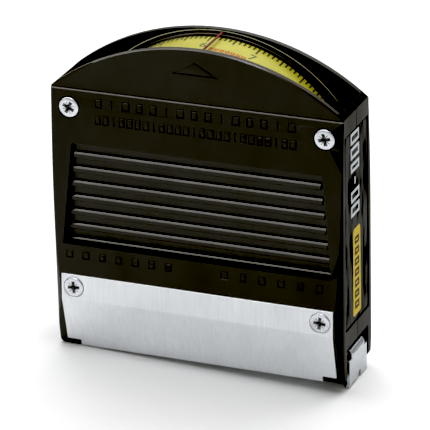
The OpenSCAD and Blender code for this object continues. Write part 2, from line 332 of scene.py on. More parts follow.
class Look(Nodes):
    """A Principled shader, whose sockets hold plain values until they are driven."""

    def __init__(self, name, color, roughness, metallic=0.0, specular=0.5):
        super().__init__(name)
        self.shader = self.tree.nodes["Principled BSDF"]
        self.set("Base Color", (*color, 1.0))
        self.set("Roughness", roughness)
        self.set("Metallic", metallic)
        self.set("Specular IOR Level", specular)

    def set(self, socket, value):
        self.shader.inputs[socket].default_value = value

    def drive(self, socket, output):
        self.link(output, self.shader.inputs[socket])

    def blend(self, fac, color_a, color_b):
        """Mixes two colours, each a tuple or a socket."""
        mix = self.node("ShaderNodeMix")
        mix.data_type = "RGBA"
        self.link(fac, mix.inputs["Factor"])
        for socket, color in ((mix.inputs[6], color_a), (mix.inputs[7], color_b)):
            if isinstance(color, tuple):
                socket.default_value = (*color, 1.0)
            else:
                self.link(color, socket)
        return mix.outputs[2]

    def fade(self, fac, value_a, value_b):
        """Mixes a socket's value with a number."""
        mix = self.node("ShaderNodeMix")
        self.link(fac, mix.inputs["Factor"])
        self.link(value_a, mix.inputs[2])
        mix.inputs[3].default_value = value_b
        return mix.outputs[0]

    def bump(self, fac, distance, strength=0.5):
        self.drive("Normal", self.relief(fac, distance, strength))

    def edge_mask(self, radius, source):
        """1 on edges, 0 on flat faces: where a rounded normal leaves the true one."""
        bevel = self.node("ShaderNodeBevel")
        bevel.samples = 4
        bevel.inputs["Radius"].default_value = radius
        geometry = self.node("ShaderNodeNewGeometry")
        dot = self.node("ShaderNodeVectorMath")
        dot.operation = "DOT_PRODUCT"
        self.link(bevel.outputs["Normal"], dot.inputs[0])
        self.link(geometry.outputs["Normal"], dot.inputs[1])
        return self.spread(dot.outputs["Value"], 1.0, 0.0, source)


# Depths, in metres, of a material's fine and coarse relief
FINE = 0.003 * MM
COARSE = 0.006 * MM


def moulded_plastic(name, color, dust_and_edge_sheen, roughness, edge_roughness, specular):
    """Moulded plastic: fine grain, faint dust, smears in the gloss, and glossier edges whose lighter
    colour is partly wear and partly a painted highlight.
    """
    look = Look(name, color, roughness, specular=specular)
    dust = look.spread(look.noise(90.0, 4.0), 0.0, 0.25, source=(0.45, 0.8))
    dusty = look.blend(dust, color, dust_and_edge_sheen)
    # Painted highlight, partly wear: edges are coloured towards the lighter colour and made glossier
    edges = look.edge_mask(radius=0.15 * MM, source=(0.80, 0.97))
    look.drive("Base Color", look.blend(edges, dusty, dust_and_edge_sheen))
    smears = look.noise(140.0, stretch=(1.0, 1.0, 0.5), offset=7.0)
    satin = look.spread(smears, roughness - 0.04, roughness + 0.06)
    look.drive("Roughness", look.fade(edges, satin, edge_roughness))
    look.bump(look.noise(3200.0, 2.0), FINE)
    return look.material


def brushed_metal(name, color, dark, roughness, stretch):
    """Metal with fine brush lines. The noise is stretched along the brush direction."""
    look = Look(name, color, roughness, metallic=1.0)
    lines = look.noise(2400.0, stretch=stretch)
    tarnish = look.spread(look.noise(120.0, 4.0, offset=5.0), 0.0, 0.5)
    stained = look.blend(tarnish, color, dark)
    look.drive("Base Color", look.blend(look.spread(lines, 0.0, 0.35), stained, dark))
    look.drive("Roughness", look.spread(lines, roughness - 0.05, roughness + 0.09))
    look.bump(lines, FINE, strength=0.6)
    return look.material


def plain_metal(name, color, dark, roughness):
    """Plated or turned metal with a faint mottle."""
    look = Look(name, color, roughness, metallic=1.0)
    mottle = look.noise(900.0, 4.0)
    grain = look.noise(2200.0)
    look.drive("Base Color", look.blend(look.spread(mottle, 0.0, 1.0), color, dark))
    look.drive("Roughness", look.spread(grain, roughness - 0.06, roughness + 0.1))
    look.bump(mottle, COARSE)
    return look.material


def matte(name, color, other, roughness, grain=2000.0, specular=0.4):
    """Soft plastic, film, rubber, ink or paint with a slight grain."""
    look = Look(name, color, roughness, specular=specular)
    mottle = look.spread(look.noise(grain, 4.0), 0.0, 1.0)
    smears = look.noise(400.0, offset=2.0)
    look.drive("Base Color", look.blend(mottle, color, other))
    look.drive("Roughness", look.spread(smears, roughness - 0.06, roughness + 0.08))
    look.bump(look.noise(grain, offset=4.0), COARSE)
    return look.material


def tape_lacquer(name):
    """Yellow lacquer: slight cloudiness, fine wear along the strip and a low sheen."""
    look = Look(name, (0.60, 0.47, 0.055), 0.42, specular=0.45)
    cloud = look.spread(look.noise(260.0, 4.0), 0.0, 1.0)
    base = look.blend(cloud, (0.62, 0.50, 0.060), (0.54, 0.42, 0.045))
    wear = look.spread(look.noise(2200.0, stretch=(0.4, 3.0, 0.4)), 0.0, 0.5)
    look.drive("Base Color", look.blend(wear, base, (0.68, 0.58, 0.13)))
    look.drive("Roughness", look.spread(look.noise(500.0, offset=9.0), 0.36, 0.50))
    look.bump(look.noise(1500.0), 0.004 * MM, strength=0.6)
    return look.material


def glossy_film(name):
    """Thin black film, stuck on a little unevenly: its sheen comes and goes in upright streaks."""
    black = (0.001, 0.001, 0.001)
    look = Look(name, black, 0.12, specular=0.02)
    streaks = look.noise(330.0, 4.0, stretch=(1.0, 1.6, 0.35), offset=3.0)
    look.drive("Specular IOR Level", look.spread(streaks, 0.0, 0.032, source=(0.40, 0.60)))
    specks = look.spread(look.noise(260.0, 4.0), 0.0, 1.0)
    look.drive("Base Color", look.blend(specks, black, (0.008, 0.009, 0.009)))
    look.drive("Roughness", look.spread(look.noise(400.0, offset=2.0), 0.08, 0.20))
    look.bump(look.noise(260.0, offset=4.0), FINE)
    return look.material


def clear_acrylic(name):
    """Thin clear window: a sheen that grows at grazing angles over what lies below."""
    look = Nodes(name)
    look.tree.nodes.clear()
    output = look.node("ShaderNodeOutputMaterial")
    mix = look.node("ShaderNodeMixShader")
    clear = look.node("ShaderNodeBsdfTransparent")
    gloss = look.node("ShaderNodeBsdfGlossy")
    facing = look.node("ShaderNodeLayerWeight")
    facing.inputs["Blend"].default_value = 0.5
    steep = look.node("ShaderNodeMath")
    steep.operation = "POWER"
    steep.inputs[1].default_value = 5.0
    look.link(facing.outputs["Facing"], steep.inputs[0])
    clear.inputs["Color"].default_value = (0.93, 0.96, 0.94, 1.0)
    gloss.inputs["Color"].default_value = (1.0, 1.0, 1.0, 1.0)
    smears = look.noise(300.0, 4.0)
    waves = look.noise(150.0, 2.0)
    sheen = look.spread(steep.outputs["Value"], 0.015, 0.45, source=(0.0, 1.0))
    look.link(look.spread(smears, 0.03, 0.12), gloss.inputs["Roughness"])
    look.link(look.relief(waves, 0.02 * MM, 0.2), gloss.inputs["Normal"])
    look.link(sheen, mix.inputs["Fac"])
    look.link(clear.outputs["BSDF"], mix.inputs[1])
    look.link(gloss.outputs["BSDF"], mix.inputs[2])
    look.link(mix.outputs["Shader"], output.inputs["Surface"])
    return look.material


CASE_BLACK = (0.0080, 0.0072, 0.0050)
# Lighter colours for dust and for edges; on the edges they are partly wear and partly a painted
# highlight
CASE_DUST_AND_EDGE_SHEEN = (0.020, 0.017, 0.011)
CASE_END_DUST_AND_EDGE_SHEEN = (0.018, 0.016, 0.011)
# Brown painted highlight for the chamfers and rib facets, lighter still where dust and edges are
CHAMFER_HIGHLIGHT_BROWN = (0.032, 0.024, 0.017)
CHAMFER_HIGHLIGHT_LIGHTER = (0.046, 0.034, 0.024)
ALUMINIUM = (0.80, 0.82, 0.84)
ALUMINIUM_DARK = (0.66, 0.68, 0.70)
ALONG_X = (0.05, 1.0, 1.0)
ALONG_Z = (1.0, 1.0, 0.04)

MATERIALS = {
    "case": moulded_plastic("case_black", CASE_BLACK, CASE_DUST_AND_EDGE_SHEEN, 0.50, 0.13, 0.50),
    # Painted highlight: the flat chamfers and rib facets are coloured brown to show bright edge lines
    "case_edge": moulded_plastic("case_edge", CHAMFER_HIGHLIGHT_BROWN, CHAMFER_HIGHLIGHT_LIGHTER, 0.22, 0.18, 0.36),
    "case_end": moulded_plastic("case_end", CASE_BLACK, CASE_END_DUST_AND_EDGE_SHEEN, 0.42, 0.30, 0.10),
    "grip": moulded_plastic("grip_black", CASE_BLACK, CASE_DUST_AND_EDGE_SHEEN, 0.34, 0.16, 0.50),
    "shoe": brushed_metal("shoe_aluminium", ALUMINIUM, ALUMINIUM_DARK, 0.45, ALONG_Z),
    "lens": clear_acrylic("lens_acrylic"),
    "lip": matte("opening_lip", (0.26, 0.21, 0.18), (0.19, 0.15, 0.13), 0.35, 2500.0),
    # Painted highlight: pale grey for the bead along the window's rear edge
    "lens_edge": matte("lens_edge", (0.66, 0.65, 0.58), (0.46, 0.45, 0.40), 0.30, 3000.0),
    "index": matte("index_print", (0.16, 0.004, 0.012), (0.12, 0.003, 0.010), 0.35, 2500.0),
    "label": glossy_film("label_film"),
    "label_white": matte(
        "label_white_ink", (0.60, 0.64, 0.66), (0.48, 0.52, 0.54), 0.5, specular=0.1),
    "label_yellow": matte(
        "label_yellow_ink", (0.62, 0.47, 0.050), (0.52, 0.38, 0.040), 0.5, specular=0.1),
    "label_dark": matte(
        "label_dark_ink", (0.012, 0.012, 0.014), (0.02, 0.02, 0.02), 0.5, specular=0.1),
    "screw": plain_metal("screw_zinc", (0.72, 0.74, 0.77), (0.54, 0.56, 0.60), 0.28),
    "spindle": plain_metal("spindle_turned", (0.55, 0.56, 0.57), (0.42, 0.43, 0.44), 0.30),
    "liner": matte("liner_film", (0.060, 0.055, 0.045), (0.045, 0.040, 0.034), 0.40),
    "bumper": matte("bumper_rubber", (0.020, 0.020, 0.020), (0.030, 0.030, 0.028), 0.75),
    "drum": matte("drum_acetal", (0.045, 0.045, 0.044), (0.060, 0.060, 0.058), 0.5),
    "spring": plain_metal("spring_blued", (0.20, 0.23, 0.30), (0.12, 0.13, 0.18), 0.32),
    "tape": tape_lacquer("tape_yellow"),
    "ink": matte("tape_ink", (0.008, 0.009, 0.004), (0.018, 0.020, 0.010), 0.5, 4000.0),
    "digit": matte("tape_digit_ink", (0.070, 0.085, 0.040), (0.100, 0.110, 0.060), 0.5, 4000.0),
    "red": matte("tape_red_ink", (0.50, 0.06, 0.015), (0.56, 0.10, 0.02), 0.5, 4000.0),
    "rivet": plain_metal("rivet_brass", (0.66, 0.46, 0.18), (0.48, 0.32, 0.12), 0.28),
    # Painted shade: dark grey for the screws' recesses and the floor of the hook's scored line
    "painted_recess_shade": matte("recess_grime", (0.12, 0.125, 0.13), (0.34, 0.35, 0.36), 0.45, 2200.0, 0.5),
    "hook": brushed_metal("hook_satin", (0.54, 0.57, 0.59), (0.40, 0.42, 0.44), 0.36, ALONG_X),
}

CARRIED_OVER = {
    "index_line": "index", "side_label": "label", "spindle": "spindle", "front_liner": "liner",
    "rear_liner": "liner", "mouth_bumper": "bumper", "reel_drum": "drum", "drum_cover": "drum",
    "mainspring": "spring", "wound_tape": "tape", "window_turn": "tape", "tape_blade": "tape",
    "hook_rivets": "rivet",
}


def paint_cad_nodes():
    """Gives each CAD node that stays in view its procedural material."""
    for node, key in CARRIED_OVER.items():
        mesh = NODES[node].data
        mesh.materials.clear()
        mesh.materials.append(MATERIALS[key])


# ------------------------------------------------------------------ the case

# Height and distance from the parting plane of the sloping face's upper and lower end
FACE_TOP = (53.9, 7.05)
FACE_BEND = (10.6, 9.6)
DOME_FACE_Y = 6.75

# Sunk marks: hollow blocks and bars with slanting walls. A narrow mark is a bar
ENGRAVED_DEPTH = 0.11
CUTTER_START = -0.05
WALL_TAPER = 0.10
STROKE = 0.16
BAR_WIDTH = 0.8

# Rows of sunk marks: first x, last x, z, height, count, and the widths that repeat
ENGRAVED_ROWS = (
    (-19.8, 19.6, 51.65, 1.7, 15, (1.3, 0.5, 1.5, 1.2)),
    (-20.0, 19.8, 48.35, 1.8, 25, (1.1, 1.2, 0.5, 1.05, 1.2)),
    (-26.3, -5.6, 20.2, 1.5, 7, (1.3, 1.4, 1.2)),
    (6.0, 25.4, 20.2, 1.5, 6, (1.4, 1.2, 1.35)),
)

# Sunk triangle: the outer and inner outline's shares of its size, at the start and at the floor
TRIANGLE_HALF = 4.5
TRIANGLE_LOW_Z = 59.6
TRIANGLE_TOP_Z = 62.4
TRIANGLE_CENTER_Z = 60.45
TRIANGLE_START_SHARES = (1.06, 0.76)
TRIANGLE_FLOOR_SHARES = (1.0, 0.84)
TRIANGLE_MARGIN = 0.5


def face_y(z):
    """Distance of the flat front face from the parting plane at a height, in millimetres."""
    share = (z - FACE_BEND[0]) / (FACE_TOP[0] - FACE_BEND[0])
    return FACE_BEND[1] + (FACE_TOP[1] - FACE_BEND[1]) * share


def on_front_face(x, z, depth):
    """Point on the front face. A positive depth goes into the case."""
    return Vector((x, -(face_y(z) - depth), z))


def on_dome_face(x, z, depth):
    """Point on the upright face of the dome, above the crease."""
    return Vector((x, -(DOME_FACE_Y - depth), z))


def engrave_row(bm, x0, x1, z, height, count, widths):
    """Row of small hollow blocks and bars, evenly spaced."""
    reach = (on_front_face, CUTTER_START, ENGRAVED_DEPTH, WALL_TAPER)
    for i in range(count):
        x = x0 + (x1 - x0) * i / (count - 1)
        width = widths[i % len(widths)]
        if width > BAR_WIDTH:
            add_frame(bm, x, z, width, height, STROKE, *reach)
        else:
            add_bar(bm, x, z, STROKE, height, *reach)


def engrave_triangle(bm):
    """Groove along a triangle on the dome's upright face."""
    corners = (
        (-TRIANGLE_HALF, TRIANGLE_LOW_Z), (TRIANGLE_HALF, TRIANGLE_LOW_Z), (0.0, TRIANGLE_TOP_Z),
    )
    levels = ((CUTTER_START, TRIANGLE_START_SHARES), (ENGRAVED_DEPTH, TRIANGLE_FLOOR_SHARES))
    rings = []
    for depth, shares in levels:
        for share in shares:
            rings.append([
                bm.verts.new(on_dome_face(
                    x * share, TRIANGLE_CENTER_Z + (z - TRIANGLE_CENTER_Z) * share, depth) * MM)
                for x, z in corners
            ])
    close_tube(bm, *rings)


def engraving():
    """Cutter for the sunk marks on the front: the rows of blocks and the dome's triangle."""
    bm = bmesh.new()
    for row in ENGRAVED_ROWS:
        engrave_row(bm, *row)
    engrave_triangle(bm)
    return solid_object("engraving_cutter", bm)


# Flat chamfers: the dome's outer rim, and the crease where the sloping face ends under it
RIM_CHAMFER = 0.17
RIM_LOW_Z = 54.12
RIM_MIN_Y = 6.4
RIM_REACH = 0.08
CREASE_CHAMFER = 0.18
CREASE_LOW_Z = 53.8
CREASE_HIGH_Z = 54.0
CREASE_MIN_Y = 6.9
CREASE_HALF_LENGTH = 29
CREASE_FACET_TOP_Z = 53.88

# Narrow ledge behind the crease, whose edges stay sharp
LEDGE_LOW_Z = 53.7
LEDGE_MIN_Y = 6.6

# Hollow of the shells, whose edges can't be seen
HOLLOW_Y = 5.25
HOLLOW_X = 27
HOLLOW_TOP_Z = 51

SHELL_ROUNDING = 0.16
SHELL_SMOOTH_ANGLE = 20
END_FACE_X = 28.6


def dome_rim(middle):
    """The long outer edge of the domed top."""
    return middle.z > RIM_LOW_Z and abs(middle.y) > RIM_MIN_Y


def crease_edge(middle):
    """The edge where the sloping face ends under the dome."""
    level = CREASE_LOW_Z < middle.z < CREASE_HIGH_Z
    return level and abs(middle.y) > CREASE_MIN_Y and abs(middle.x) < CREASE_HALF_LENGTH


def outside_edges(middle):
    """Edges of a shell that can be seen and are neither chamfered nor on the crease's ledge."""
    x, y, z = middle
    inside = abs(y) < HOLLOW_Y and abs(x) < HOLLOW_X and z < HOLLOW_TOP_Z
    on_ledge = LEDGE_LOW_Z < z < CREASE_HIGH_Z and abs(y) > LEDGE_MIN_Y
    return not inside and not dome_rim(middle) and not on_ledge


def on_chamfer(center):
    """Faces of the two flat chamfers, which get the painted highlight, without the sunk triangle's
    walls, which lie as far out.
    """
    half = TRIANGLE_HALF + TRIANGLE_MARGIN
    by_triangle = abs(center.x) < half and center.z < TRIANGLE_TOP_Z + TRIANGLE_MARGIN
    rim_offset = abs(center.y) - (DOME_FACE_Y - RIM_CHAMFER / 2)
    on_rim = center.z > RIM_LOW_Z and abs(rim_offset) < RIM_REACH
    crease_level = FACE_TOP[0] - CREASE_CHAMFER < center.z < CREASE_FACET_TOP_Z
    on_crease = crease_level and abs(center.y) > CREASE_MIN_Y
    return on_crease or (on_rim and not by_triangle)


def on_mouth_end(center):
    """Faces of the end that the tape leaves by, and of its rounded upright edges."""
    return center.x > END_FACE_X and not on_chamfer(center)


def dress_shell(obj, node):
    """Puts a shell in the scene: chamfers coloured brown as a painted highlight, and a duller end at
    the mouth.
    """
    looks = [MATERIALS["case"], MATERIALS["case_edge"], MATERIALS["case_end"]]
    place(obj, "case", looks, [node])
    # Painted highlight: the chamfers get the brown highlight material
    paint_faces(obj, 1, on_chamfer)
    paint_faces(obj, 2, on_mouth_end)


def build_shells():
    """The two shells with rounded edges; the front one carries the sunk marks."""
    chamfers = ((RIM_CHAMFER, dome_rim), (CREASE_CHAMFER, crease_edge))
    front = softened("front_shell", "front_shell_soft", SHELL_ROUNDING, outside_edges, chamfers)
    cut(front, engraving())
    shade(front, SHELL_SMOOTH_ANGLE)
    dress_shell(front, "front_shell")
    rear = softened("rear_shell", "rear_shell_soft", SHELL_ROUNDING, outside_edges, chamfers)
    shade(rear, SHELL_SMOOTH_ANGLE)
    dress_shell(rear, "rear_shell")


# ----------------------------------------------------------------- the grips

# Sheet under the ribs, and how much narrower it is on either side at its top
GRIP_SHEET = 0.35
GRIP_NARROWING = 2.08
GRIP_SMOOTH_ANGLE = 35

RIB_COUNT = 7
RIB_PITCH = 3.0
RIB_HEIGHT = 1.2
RIB_ROOT = 0.1
RIB_END_GAP = 0.3
FIRST_RIB_DROP = 1.6
LAST_RIB_GAP = 0.12

# Slanting facet along a rib's top edge, the easing at its ends and the rounding below
FACET = 0.36
FACET_EASE = 0.06
FACET_REACH = 0.05
RIB_ROUNDING = 0.2
ROUNDING_STEPS = 4


def rib_outline(low, high, root, front, facet, rounding):
    """Side view of one rib: a flat slanting facet along its top edge, a small rounding below."""
    points = [(-root, low)]
    for i in range(ROUNDING_STEPS + 1):
        t = math.pi / 2 * i / ROUNDING_STEPS
        out = front - rounding + rounding * math.sin(t)
        points.append((-out, low + rounding - rounding * math.cos(t)))
    points.append((-front, high - facet - FACET_EASE))
    points.append((-(front - FACET_EASE / 2), high - facet))
    points.append((-(front - facet), high - FACET_EASE / 2))
    points.append((-(front - facet - FACET_EASE), high))
    points.append((-root, high))
    return points


def build_grip(node, name, side):
    """Grip panel: a thin sheet with seven level ribs that grow longer down the trapezoid."""
    low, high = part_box(node)
    low_z, high_z = low.z / MM, high.z / MM
    low_half = high.x / MM
    top_half = low_half - GRIP_NARROWING
    front = high.y / MM if side > 0 else -low.y / MM
    floor_y = low.y / MM if side > 0 else -high.y / MM
    slope = (low_half - top_half) / (high_z - low_z)
    bm = bmesh.new()
    sheet = [(-top_half, high_z), (-low_half, low_z), (low_half, low_z), (top_half, high_z)]
    sheet_y = floor_y + GRIP_SHEET
    add_prism(bm, sheet, lambda u, v, d: Vector((u, side * d, v)), floor_y, sheet_y)
    for i in range(RIB_COUNT):
        top = high_z - FIRST_RIB_DROP - i * RIB_PITCH
        bottom = max(top - RIB_HEIGHT, low_z + LAST_RIB_GAP)
        half = top_half + slope * (high_z - top) - RIB_END_GAP
        rounding = min(RIB_ROUNDING, (top - bottom) * 0.3)
        facet = min(FACET, (top - bottom) * 0.5)
        outline = rib_outline(bottom, top, sheet_y - RIB_ROOT, front, facet, rounding)
        add_prism(bm, outline, lambda u, v, d: Vector((d, -side * u, v)), -half, half)
    obj = shade(solid_object(name, bm), GRIP_SMOOTH_ANGLE)
    place(obj, "case", [MATERIALS["grip"], MATERIALS["case_edge"]], [node])
    # Painted highlight: the slanting facets along the rib tops get the brown highlight material
    facet_y = front - FACET / 2
    paint_faces(obj, 1, lambda center: abs(abs(center.y) - facet_y) < FACET_REACH)


# ---------------------------------------------------------------- the window

LENS_CENTER_Z = 33.35
LENS_THICKNESS = 0.75
LENS_STEPS = 72
LENS_ROUNDING = 0.08
LENS_SHARP_ANGLE = 60

# Bead along the window's rear edge, coloured pale grey as a painted highlight
BEAD_Y = 5.6
BEAD_RADIUS = 0.13
BEAD_HALF_LENGTH = 24.2

# Lip of the opening under the window's rear edge
LIP_Y = 5.1
LIP_RADIUS = 0.08
LIP_ARC_RADIUS = 28.55
LIP_HALF_LENGTH = 15.5

CORD_STEPS = 64
CORD_SIDES = 8
CORD_SMOOTH_ANGLE = 60


def on_bead(x, u, v):
    """Point about the bead's centre line, which follows the window's upper face."""
    radius = LENS_RADIUS + v
    return Vector((x, BEAD_Y + u, LENS_CENTER_Z + math.sqrt(radius * radius - x * x)))


def on_lip(x, u, v):
    """Point about the lip's centre line, an arc around the reel's axis."""
    radius = LIP_ARC_RADIUS + v
    return Vector((x, LIP_Y + u, AXIS_Z + math.sqrt(radius * radius - x * x)))


def add_arc_cord(name, radius, half_length, place_point):
    """Thin round moulding that follows an arc over X, its section put in place by place_point."""
    bm = bmesh.new()
    rings = []
    for i in range(CORD_STEPS + 1):
        x = half_length * (2 * i / CORD_STEPS - 1)
        ring = []
        for k in range(CORD_SIDES):
            turn = 2 * math.pi * k / CORD_SIDES
            point = place_point(x, radius * math.cos(turn), radius * math.sin(turn))
            ring.append(bm.verts.new(point * MM))
        rings.append(ring)
    bm.faces.new(rings[0])
    bm.faces.new(list(reversed(rings[-1])))
    for a, b in zip(rings, rings[1:]):
        for k in range(CORD_SIDES):
            n = (k + 1) % CORD_SIDES
            bm.faces.new((a[k], b[k], b[n], a[n]))
    return shade(solid_object(name, bm), CORD_SMOOTH_ANGLE)


def window_outline(half_width):
    """Side view of the window: its outer arc from left to right, and its inner arc back."""
    outline = []
    for radius, way in ((LENS_RADIUS, 1), (LENS_RADIUS - LENS_THICKNESS, -1)):
        reach = math.asin(half_width / radius)
        for i in range(LENS_STEPS + 1):
            turn = way * reach * (2 * i / LENS_STEPS - 1)
            outline.append((radius * math.sin(turn), LENS_CENTER_Z + radius * math.cos(turn)))
    return outline


def build_window():
    """The curved window, the bead along its rear edge, coloured pale as a painted highlight, and the
    lip of the opening.
    """
    low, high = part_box("window_lens")
    outline = window_outline(high.x / MM)
    bm = bmesh.new()
    add_prism(bm, outline, lambda u, v, d: Vector((u, d, v)), low.y / MM, high.y / MM)
    bmesh.ops.recalc_face_normals(bm, faces=bm.faces)
    bevel_edges(bm, sharp_edges(bm, LENS_SHARP_ANGLE), LENS_ROUNDING)
    lens = shade(mesh_object("window_lens_soft", bm))
    place(lens, "case", [MATERIALS["lens"]], ["window_lens"])
    bead = add_arc_cord("window_rear_bead", BEAD_RADIUS, BEAD_HALF_LENGTH, on_bead)
    # Painted highlight along the window's rear edge
    place(bead, "case", [MATERIALS["lens_edge"]])
    lip = add_arc_cord("opening_rear_lip", LIP_RADIUS, LIP_HALF_LENGTH, on_lip)
    place(lip, "case", [MATERIALS["lip"]])


# --------------------------------------------------------- the shoe and hook

SHOE_ROUNDING = 0.10
HOOK_ROUNDING = 0.09

# Scored line across the hook's neck, bowed down in the middle; its floor is painted dark as a shadow
# line
SCORE_Z = 4.85
SCORE_SAG = 0.25
SCORE_HALF_LENGTH = 3.1
SCORE_WIDTH = 0.24
SCORE_DEPTH = 0.10
SCORE_START = -0.2
SCORE_STEPS = 10
SCORE_FLOOR_REACH = 0.02


def hook_score():
    """Cutter for the shallow scored line across the hook's neck, just below its bend."""
    bm = bmesh.new()
    lower = []
    upper = []
    for i in range(SCORE_STEPS + 1):
        y = SCORE_HALF_LENGTH * (2 * i / SCORE_STEPS - 1)
        z = SCORE_Z - SCORE_SAG * (1 - (y / SCORE_HALF_LENGTH) ** 2)
        lower.append((y, z - SCORE_WIDTH / 2))
        upper.append((y, z + SCORE_WIDTH / 2))
    outline = lower + list(reversed(upper))
    add_prism(bm, outline, lambda u, v, d: Vector((HOOK_FACE_X - d, u, v)), SCORE_START, SCORE_DEPTH)
    return solid_object("score_cutter", bm)


def in_score(center):
    """Faces on the floor of the scored line, which get painted shade."""
    on_floor = abs(center.x - (HOOK_FACE_X - SCORE_DEPTH)) < SCORE_FLOOR_REACH
    return on_floor and abs(center.z - SCORE_Z + SCORE_SAG / 2) < SCORE_SAG + SCORE_WIDTH


def build_shoe_and_hook():
    """Base shoe and hook, rounded copies of the CAD shapes; the hook is scored below its bend, and
    the score's floor painted dark as a shadow line.
    """
    shoe = shade(softened("base_shoe", "base_shoe_soft", SHOE_ROUNDING))
    place(shoe, "case", [MATERIALS["shoe"]], ["base_shoe"])
    hook = softened("end_hook", "end_hook_soft", HOOK_ROUNDING)
    cut(hook, hook_score())
    shade(hook)
    place(hook, "hook", [MATERIALS["hook"], MATERIALS["painted_recess_shade"]], ["end_hook"])
    # Painted shade: a dark line on the floor of the score
    paint_faces(hook, 1, in_score)


# ---------------------------------------------------------------- the screws

HEAD_RADIUS = 2.03
SHANK_RADIUS = 1.0
SCREW_STEPS = 48
SCREW_SMOOTH_ANGLE = 35

# (radius, depth) from the head's flat middle, over its rounded rim, to the foot of its cone
HEAD_PROFILE = (
    (1.45, 0.0), (1.58, 0.012), (1.70, 0.05), (1.84, 0.05), (1.95, 0.09), (2.02, 0.17),
    (HEAD_RADIUS, 0.26), (HEAD_RADIUS, 0.40), (SHANK_RADIUS, 1.30),
)

# Depth, length and half width of a recess arm above the head and at its floor
RECESS_LEVELS = ((-0.3, 1.42, 0.38), (1.05, 0.60, 0.20))

# Fine groove between two arms: outline, and the depths it runs between
TICK = ((0.45, -0.07), (1.22, -0.07), (1.22, 0.07), (0.45, 0.07))
TICK_START = -0.3
TICK_DEPTH = 0.10

# Faces within this radius and between these depths are the recess's, which get painted shade
RECESS_RADIUS = 1.4
RECESS_TOP = 0.02
RECESS_FLOOR = 1.2

# Angle, in degrees, that the left and right screw of a pair stand at
SCREW_TURNS = {"upper_screws": (-28, 14), "lower_screws": (4, -6)}


def turned(place_point, angle):
    """place_point with its first two coordinates turned by an angle."""
    cosine = math.cos(angle)
    sine = math.sin(angle)
    return lambda u, v, depth: place_point(u * cosine - v * sine, u * sine + v * cosine, depth)


def recess_cutter(name, on_axis, turn):
    """Cutter for a cross recess and the four fine grooves between its arms."""
    bm = bmesh.new()
    for quarter in range(4):
        angle = math.radians(turn) + quarter * math.pi / 2
        along = turned(on_axis, angle)
        ends = []
        for depth, length, half in RECESS_LEVELS:
            arm = ((0.0, -half), (length, -half), (length, half), (0.0, half))
            ends.append([bm.verts.new(along(u, v, depth) * MM) for u, v in arm])
        close_prism(bm, *ends)
        add_prism(bm, TICK, turned(on_axis, angle + math.pi / 4), TICK_START, TICK_DEPTH)
    return solid_object(name, bm)


def screw_solid(name, x, z, front, back, turn):
    """Countersunk screw, whose recess is turned by an angle in degrees and painted dark as shade."""
    def on_axis(u, v, depth):
        return Vector((x + u, front + depth, z + v))

    def in_recess(center):
        across = math.hypot(center.x - x, center.z - z)
        return across < RECESS_RADIUS and RECESS_TOP < center.y - front < RECESS_FLOOR

    length = back - front
    profile = [(0, 0.0), *HEAD_PROFILE, (SHANK_RADIUS, length), (0, length)]
    screw = solid_object(name, revolve(profile, SCREW_STEPS, on_axis))
    cut(screw, recess_cutter(name + "_cutter", on_axis, turn), overlapping=True)
    shade(screw, SCREW_SMOOTH_ANGLE)
    # Painted shade in the recess
    paint_faces(screw, 1, in_recess)
    return screw


def build_screws():
    """Four screws: both CAD pairs are replaced by screws with a full recess."""
    for node, turns in SCREW_TURNS.items():
        low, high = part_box(node)
        z = (low.z + high.z) / 2 / MM
        front = low.y / MM
        back = high.y / MM
        for side, turn in zip((-1, 1), turns):
            x = side * (high.x / MM - HEAD_RADIUS)
            name = node + ("_left" if side < 0 else "_right")
            screw = screw_solid(name, x, z, front, back, turn)
            place(screw, "case", [MATERIALS["screw"], MATERIALS["painted_recess_shade"]], [node])


# ------------------------------------------------------------- marks on tape

blade_low, blade_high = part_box("tape_blade")
BLADE_FLOOR_Z = blade_low.z / MM + TAPE_THICKNESS
CUP_RADIUS = (TAPE_HALF ** 2 + BLADE_CUP ** 2) / (2 * BLADE_CUP)

# Thickness of the print, and the gap between the marks and the tape's edge
INK = 0.02
MARK_EDGE = 0.05

# Half width of a mark; lengths of the millimetre, 5 mm and 10 mm marks; size of the numbers
WINDOW_MARK_HALF = 0.17
WINDOW_REACHES = (1.25, 2.0, 2.5)
WINDOW_DIGIT_SIZE = 3.3
WINDOW_DIGIT_Y = 0.1
BLADE_MARK_HALF = 0.09
BLADE_REACHES = (1.3, 2.0, 2.9)
BLADE_DIGIT_SIZE = 3.6
BLADE_DIGIT_SHIFT = 1.5
DIGIT_NARROWING = 0.95

# Readings around the window's turn; distances from the hook along the straight tape
WINDOW_READINGS = range(30, 141)
BLADE_START = int(HOOK_FACE_X - blade_high.x / MM) + 2
BLADE_DISTANCES = range(BLADE_START, 55)

# Where the hook's tab covers the long marks, and the longest mark that it leaves free
TAB_X = 21.0
FREE_BY_TAB = 1.5

# Row of small red blocks on the window's turn
RED_COUNT = 7
RED_START = 1.3
RED_PITCH = 1.1
RED_Y = -1.35
RED_SIZE = (0.85, 1.1)
RED_STROKE = 0.28


def on_turn(s, y, lift):
    """Point on the outermost turn, at an arc length from the top in millimetres."""
    radius = TURN_RADIUS + lift
    turn = s / TURN_RADIUS
    return Vector((radius * math.sin(turn), y, AXIS_Z + radius * math.cos(turn)))


def on_blade(x, y, lift):
    """Point on the hollow upper face of the straight tape."""
    rise = CUP_RADIUS - math.sqrt(CUP_RADIUS ** 2 - y * y)
    return Vector((x, y, BLADE_FLOOR_Z + rise + lift))


def mark_reach(value, reaches):
    """Length of the mark at a whole number of millimetres."""
    plain, fifth, tenth = reaches
    if value % 10 == 0:
        return tenth
    if value % 5 == 0:
        return fifth
    return plain


